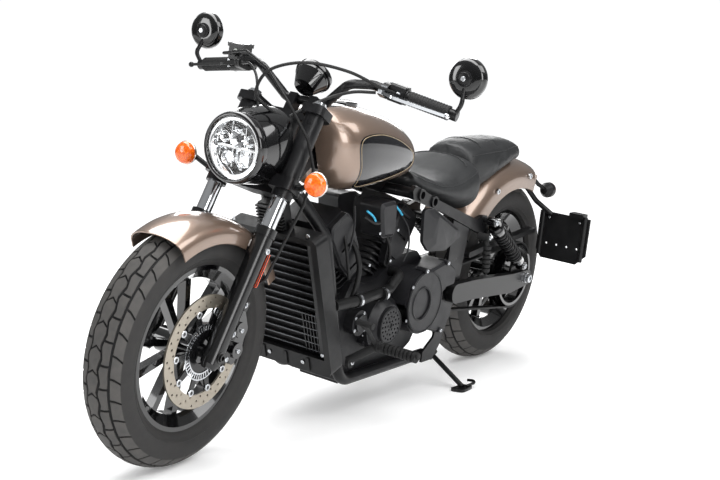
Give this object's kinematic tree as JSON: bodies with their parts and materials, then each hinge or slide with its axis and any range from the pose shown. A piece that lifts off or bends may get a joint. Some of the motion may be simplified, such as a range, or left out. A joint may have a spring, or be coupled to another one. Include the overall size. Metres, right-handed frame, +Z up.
{
  "type": "bobber motorcycle",
  "caption": "Low bobber motorcycle with a V-twin engine, belt drive and two-piece seat, parked leaning on its side stand.",
  "frame": {"origin": "on the ground, below the middle of the box round the parked machine", "axes": "+X forward, +Y to the machine's left, +Z up from the ground"},
  "size_m": [2.2042, 0.9479, 1.1752],
  "materials": {
    "frame_paint": "satin",
    "radiator_black": "matte",
    "black_plastic": "satin",
    "engine_black": "matte",
    "hose_rubber": "matte",
    "exhaust_black": "satin",
    "bronze_paint": "gloss",
    "seat_vinyl": "satin",
    "gloss_black": "gloss",
    "fork_chrome": "polished",
    "lamp_reflector": "polished",
    "amber_lens": "gloss",
    "tyre_rubber": "matte",
    "disc_steel": "brushed"
  },
  "bodies": {
    "chassis": {"frame_spine": "frame_paint", "cradle_left": "frame_paint", "cradle_right": "frame_paint", "radiator": "radiator_black", "radiator_shroud": "black_plastic", "crankcase": "engine_black", "front_cylinder": "engine_black", "rear_cylinder": "engine_black", "engine_covers": "engine_black", "pulley_cover": "engine_black", "side_covers": "black_plastic", "coolant_hose": "hose_rubber", "exhaust": "exhaust_black", "fuel_tank": "bronze_paint", "seat": "seat_vinyl", "pillion_pad": "seat_vinyl", "rear_fender": "bronze_paint", "swingarm": "frame_paint", "shocks": "engine_black", "drive_belt": "hose_rubber", "belt_guard": "black_plastic", "foot_controls": "engine_black", "passenger_pegs": "engine_black", "plate_holder": "black_plastic", "rear_signals": "black_plastic"},
    "steering": {"triple_clamps": "gloss_black", "fork_left": "fork_chrome", "fork_right": "fork_chrome", "handlebar": "gloss_black", "hand_controls": "black_plastic", "mirrors": "black_plastic", "gauge": "gloss_black", "headlight_shell": "gloss_black", "headlight": "lamp_reflector", "front_signals": "amber_lens", "front_fender": "bronze_paint", "front_caliper": "engine_black", "brake_hose": "hose_rubber"},
    "front_wheel": {"front_rim": "gloss_black", "front_tyre": "tyre_rubber", "front_disc": "disc_steel"},
    "rear_wheel": {"rear_rim": "gloss_black", "rear_tyre": "tyre_rubber", "rear_disc": "disc_steel"},
    "side_stand": {"side_stand": "engine_black"}
  },
  "joints": [
    {"name": "steering_turn", "type": "hinge", "parent": "chassis", "child": "steering", "pos_m": [0.73711, -0.10254, 0.29359], "axis": [-0.4848, 0.1172, 0.8667], "range_deg": [-31, 23]},
    {"name": "front_wheel_spin", "type": "hinge", "parent": "steering", "child": "front_wheel", "pos_m": [0.78089, -0.09582, 0.31717], "axis": [-0.061, 0.984, -0.1672], "continuous": true},
    {"name": "rear_wheel_spin", "type": "hinge", "parent": "chassis", "child": "rear_wheel", "pos_m": [-0.781, -0.09888, 0.32067], "axis": [0, 0.991, -0.134], "continuous": true},
    {"name": "side_stand_fold", "type": "hinge", "parent": "chassis", "child": "side_stand", "pos_m": [-0.34, -0.04787, 0.10085], "axis": [-0.11, 0.5924, 0.7981], "range_deg": [0, 92]}
  ]
}
